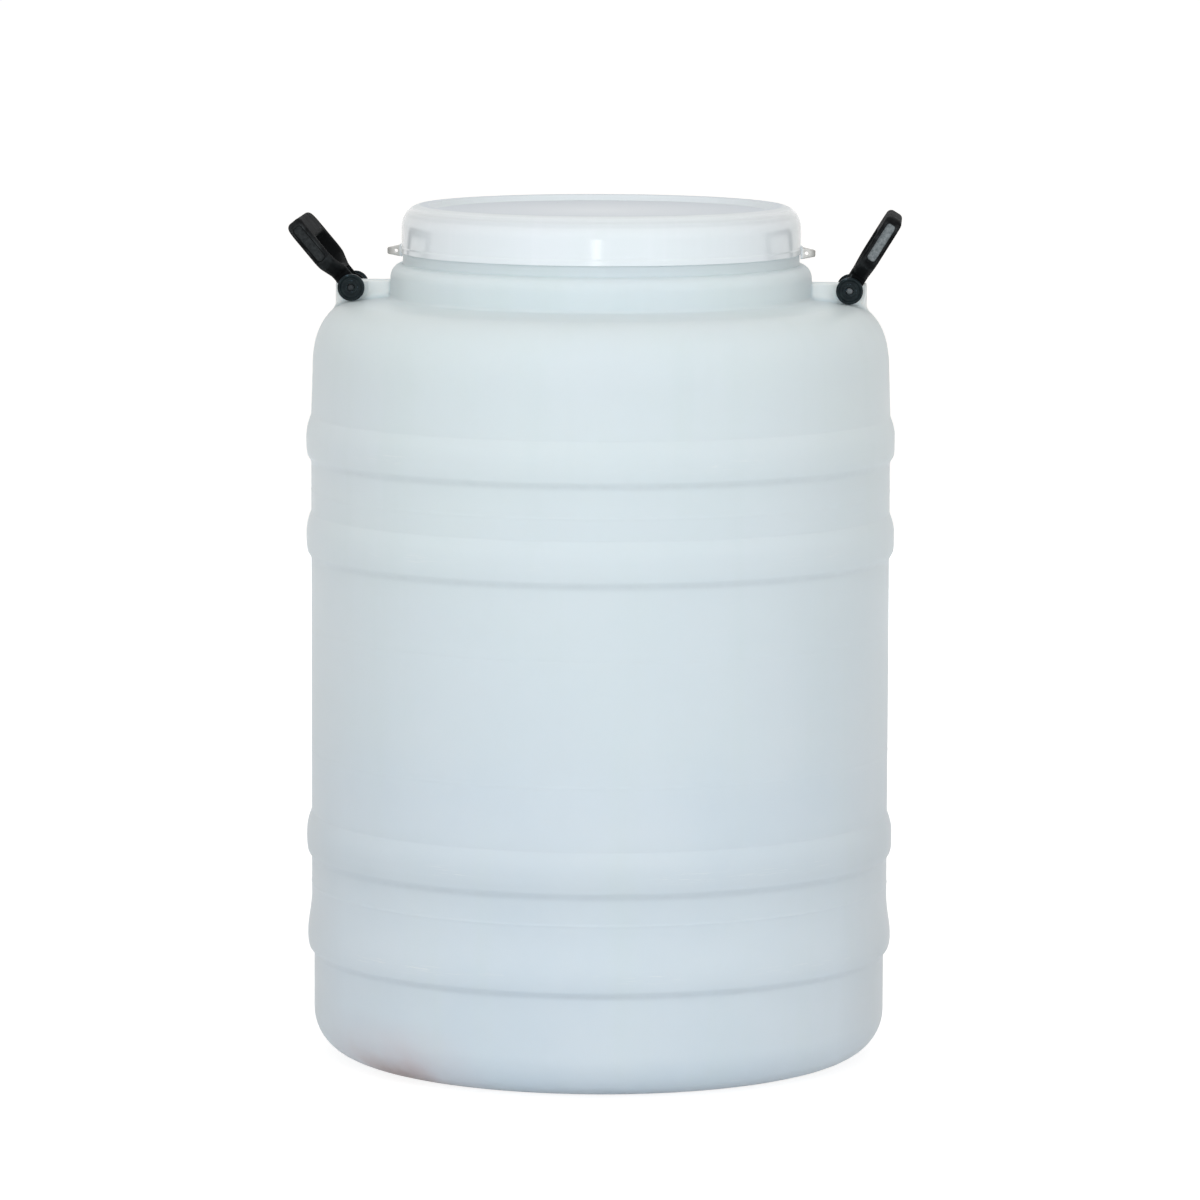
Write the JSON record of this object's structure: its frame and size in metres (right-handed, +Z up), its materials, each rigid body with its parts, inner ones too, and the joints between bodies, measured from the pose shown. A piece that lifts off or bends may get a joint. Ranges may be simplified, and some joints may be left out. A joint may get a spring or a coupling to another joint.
{
  "type": "storage barrel",
  "caption": "Wide-mouthed plastic storage barrel with moulded hoops, a rounded shoulder, a screw lid with a sealing ring, and swinging carrying handles on the shoulder.",
  "frame": {"origin": "middle of the base, on the floor, on the barrel's own axis", "axes": "+Z up along the barrel's axis, -Y towards the viewer of the picture, +X through the right handle"},
  "size_m": [0.4128, 0.3994, 0.5786],
  "materials": {
    "body_plastic": "natural milky polyethylene, satin, faintly blue-green and slightly translucent",
    "lid_plastic": "white moulded plastic, smooth and softly glossy",
    "gasket_rubber": "dull pale grey",
    "handle_plastic": "black moulded plastic, satin",
    "cap_plastic": "blue-black moulded plastic, satin",
    "pin_steel": "dull steel"
  },
  "bodies": {
    "barrel": {"barrel_body": "body_plastic", "left_pivot_pin": "pin_steel", "right_pivot_pin": "pin_steel", "left_front_cap": "cap_plastic", "left_rear_cap": "cap_plastic", "right_front_cap": "cap_plastic", "right_rear_cap": "cap_plastic"},
    "left_handle": {"left_handle": "handle_plastic"},
    "right_handle": {"right_handle": "handle_plastic"},
    "gasket": {"lid_gasket": "gasket_rubber"},
    "lid": {"lid": "lid_plastic"}
  },
  "joints": [
    {"name": "left_handle_swing", "type": "hinge", "parent": "barrel", "child": "left_handle", "pos_m": [-0.1685, 0, 0.5226], "axis": [0, -1, 0], "range_deg": [-68, 60]},
    {"name": "right_handle_swing", "type": "hinge", "parent": "barrel", "child": "right_handle", "pos_m": [0.1685, 0, 0.5226], "axis": [0, 1, 0], "range_deg": [-60, 68]},
    {"name": "lid_lift", "type": "slide", "parent": "barrel", "child": "gasket", "axis": [0, 0, 1], "range_m": [0, 0.0383]},
    {"name": "lid_turn", "type": "hinge", "parent": "gasket", "child": "lid", "pos_m": [0, 0, 0.5465], "axis": [0, 0, 1], "range_deg": [0, 1530]}
  ],
  "couplings": [
    {"joint": "lid_lift", "follows": "lid_turn", "m_per_rad": 0.0014324}
  ]
}
